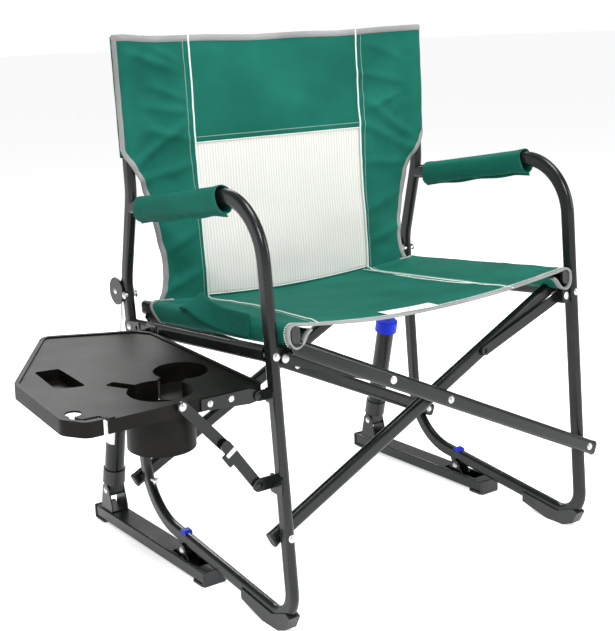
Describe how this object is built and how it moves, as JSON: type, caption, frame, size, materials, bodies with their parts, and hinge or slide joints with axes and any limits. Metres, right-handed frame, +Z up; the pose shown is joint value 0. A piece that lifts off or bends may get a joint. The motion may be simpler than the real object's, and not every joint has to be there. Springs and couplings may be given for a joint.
{
  "type": "camp rocking chair",
  "caption": "Folding camp chair with fabric sling seat and back, spring-strut rocking base and a fold-down side table.",
  "frame": {"origin": "middle of the overall box, on the floor", "axes": "+Z up, +X to the right seen from the front, +Y to the rear"},
  "size_m": [0.9532, 0.6506, 0.8827],
  "materials": {
    "frame_steel": "semi-gloss dark grey powder coat",
    "zinc_steel": "domed zinc-plated rivet",
    "chrome_rod": "polished",
    "black_plastic": "satin moulded",
    "blue_plastic": "satin moulded",
    "table_plastic": "fine-grained moulded",
    "green_fabric": "woven polyester canvas",
    "white_mesh": "ribbed open mesh",
    "grey_binding": "woven edge tape",
    "white_trim": "piping, thread and plain labels"
  },
  "bodies": {
    "base_right": {"foot_bar_right": "frame_steel", "foot_bar_caps_right": "black_plastic", "rock_bracket_right": "frame_steel", "strut_clevis_right": "frame_steel", "base_pins_right": "zinc_steel"},
    "base_left": {"foot_bar_left": "frame_steel", "foot_bar_caps_left": "black_plastic", "rock_bracket_left": "frame_steel", "strut_clevis_left": "frame_steel", "base_pins_left": "zinc_steel"},
    "side_right": {"side_frame_right": "frame_steel", "side_rail_right": "frame_steel", "leg_bracket_right": "frame_steel", "strut_bracket_right": "frame_steel", "post_cap_right": "black_plastic", "front_foot_right": "black_plastic", "arm_sleeve_right": "green_fabric", "rail_plug_right": "blue_plastic", "side_rivets_right": "zinc_steel", "back_sling": "green_fabric"},
    "strut_right": {"strut_foot_right": "black_plastic", "strut_cylinder_right": "frame_steel", "strut_ring_right": "blue_plastic"},
    "rod_right": {"strut_rod_right": "chrome_rod"},
    "side_left": {"side_frame_left": "frame_steel", "side_rail_left": "frame_steel", "leg_bracket_left": "frame_steel", "strut_bracket_left": "frame_steel", "post_cap_left": "black_plastic", "front_foot_left": "black_plastic", "arm_sleeve_left": "green_fabric", "rail_plug_left": "blue_plastic", "side_rivets_left": "zinc_steel", "table_hinge_front": "frame_steel", "table_hinge_rear": "frame_steel", "brace_bracket": "frame_steel"},
    "strut_left": {"strut_foot_left": "black_plastic", "strut_cylinder_left": "frame_steel", "strut_ring_left": "blue_plastic"},
    "rod_left": {"strut_rod_left": "chrome_rod"},
    "scissor_a": {"seat_tube_a": "frame_steel", "cross_bar_front_a": "frame_steel", "cross_bar_rear_a": "frame_steel", "end_caps_a": "black_plastic", "scissor_pins_a": "zinc_steel", "seat_sling": "green_fabric", "carry_handle": "green_fabric"},
    "scissor_b": {"seat_tube_b": "frame_steel", "cross_bar_front_b": "frame_steel", "cross_bar_rear_b": "frame_steel", "end_caps_b": "black_plastic", "scissor_pins_b": "zinc_steel"},
    "guide_left": {"guide_link_left": "frame_steel"},
    "guide_right": {"guide_link_right": "frame_steel"},
    "table": {"table_top": "table_plastic", "table_strap": "frame_steel", "table_rivets": "zinc_steel"},
    "brace_high": {"brace_upper": "frame_steel"},
    "brace_low": {"brace_lower": "frame_steel"}
  },
  "joints": [
    {"name": "rock", "type": "hinge", "parent": "base_right", "child": "side_right", "pos_m": [0.45409, 0.01264, 0.03469], "axis": [-1, 0, 0], "range_deg": [0, 14], "stiffness_Nm_per_rad": 100},
    {"name": "fold", "type": "hinge", "parent": "side_right", "child": "scissor_a", "pos_m": [0.45412, -0.05487, 0.14016], "axis": [0, 0.9976, -0.0698], "range_deg": [0, 51.5], "deforming": ["seat_sling", "back_sling"]},
    {"name": "fold_centre", "type": "hinge", "parent": "scissor_a", "child": "scissor_b", "pos_m": [0.14409, -0.04455, 0.28768], "axis": [0, 0.9976, -0.0698], "range_deg": [-103, 0]},
    {"name": "fold_left", "type": "hinge", "parent": "scissor_b", "child": "side_left", "pos_m": [-0.16595, -0.05487, 0.14016], "axis": [0, 0.9976, -0.0698], "range_deg": [0, 51.5]},
    {"name": "rock_left", "type": "hinge", "parent": "side_left", "child": "base_left", "pos_m": [-0.16591, 0.01264, 0.03469], "axis": [1, 0, 0], "range_deg": [0, 14]},
    {"name": "strut_turn_right", "type": "hinge", "parent": "base_right", "child": "strut_right", "pos_m": [0.45409, 0.28233, 0.065], "axis": [-1, 0, 0], "range_deg": [0, 13.86]},
    {"name": "strut_slide_right", "type": "slide", "parent": "strut_right", "child": "rod_right", "axis": [0, -0.2332, 0.9724], "range_m": [-0.0666, 0]},
    {"name": "strut_turn_left", "type": "hinge", "parent": "base_left", "child": "strut_left", "pos_m": [-0.16591, 0.28233, 0.065], "axis": [-1, 0, 0], "range_deg": [0, 13.86]},
    {"name": "strut_slide_left", "type": "slide", "parent": "strut_left", "child": "rod_left", "axis": [0, -0.2332, 0.9724], "range_m": [-0.0666, 0]},
    {"name": "guide_turn_left", "type": "hinge", "parent": "side_left", "child": "guide_left", "pos_m": [-0.14991, -0.03628, 0.40601], "axis": [0, -0.9976, 0.0698], "range_deg": [0, 99.89]},
    {"name": "guide_turn_right", "type": "hinge", "parent": "side_right", "child": "guide_right", "pos_m": [0.43809, -0.03628, 0.40601], "axis": [0, 0.9976, -0.0698], "range_deg": [0, 99.89]},
    {"name": "table_fold", "type": "hinge", "parent": "side_left", "child": "table", "pos_m": [-0.18591, -0.06371, 0.38303], "axis": [0, -0.9984, -0.0562], "range_deg": [0, 90]},
    {"name": "brace_low_turn", "type": "hinge", "parent": "side_left", "child": "brace_low", "pos_m": [-0.19591, -0.05624, 0.25024], "axis": [0, -0.9984, -0.0562], "range_deg": [0, 144.25]},
    {"name": "brace_high_turn", "type": "hinge", "parent": "table", "child": "brace_high", "pos_m": [-0.31191, -0.06428, 0.39301], "axis": [0, -0.9984, -0.0562], "range_deg": [-132.12, 0]}
  ],
  "couplings": [
    {"joint": "fold_centre", "follows": "fold", "ratio": -2},
    {"joint": "fold_left", "follows": "fold", "ratio": 1},
    {"joint": "rock_left", "follows": "rock", "ratio": 1},
    {"joint": "guide_turn_left", "follows": "fold", "ratio": 1.9378},
    {"joint": "guide_turn_right", "follows": "fold", "ratio": 1.9378},
    {"joint": "brace_low_turn", "follows": "table_fold", "ratio": 1.6017},
    {"joint": "brace_high_turn", "follows": "table_fold", "ratio": -1.4669},
    {"joint": "strut_turn_right", "follows": "rock", "ratio": 0.983},
    {"joint": "strut_slide_right", "follows": "rock", "m_per_rad": -0.2705},
    {"joint": "strut_turn_left", "follows": "rock", "ratio": 0.983},
    {"joint": "strut_slide_left", "follows": "rock", "m_per_rad": -0.2705}
  ]
}
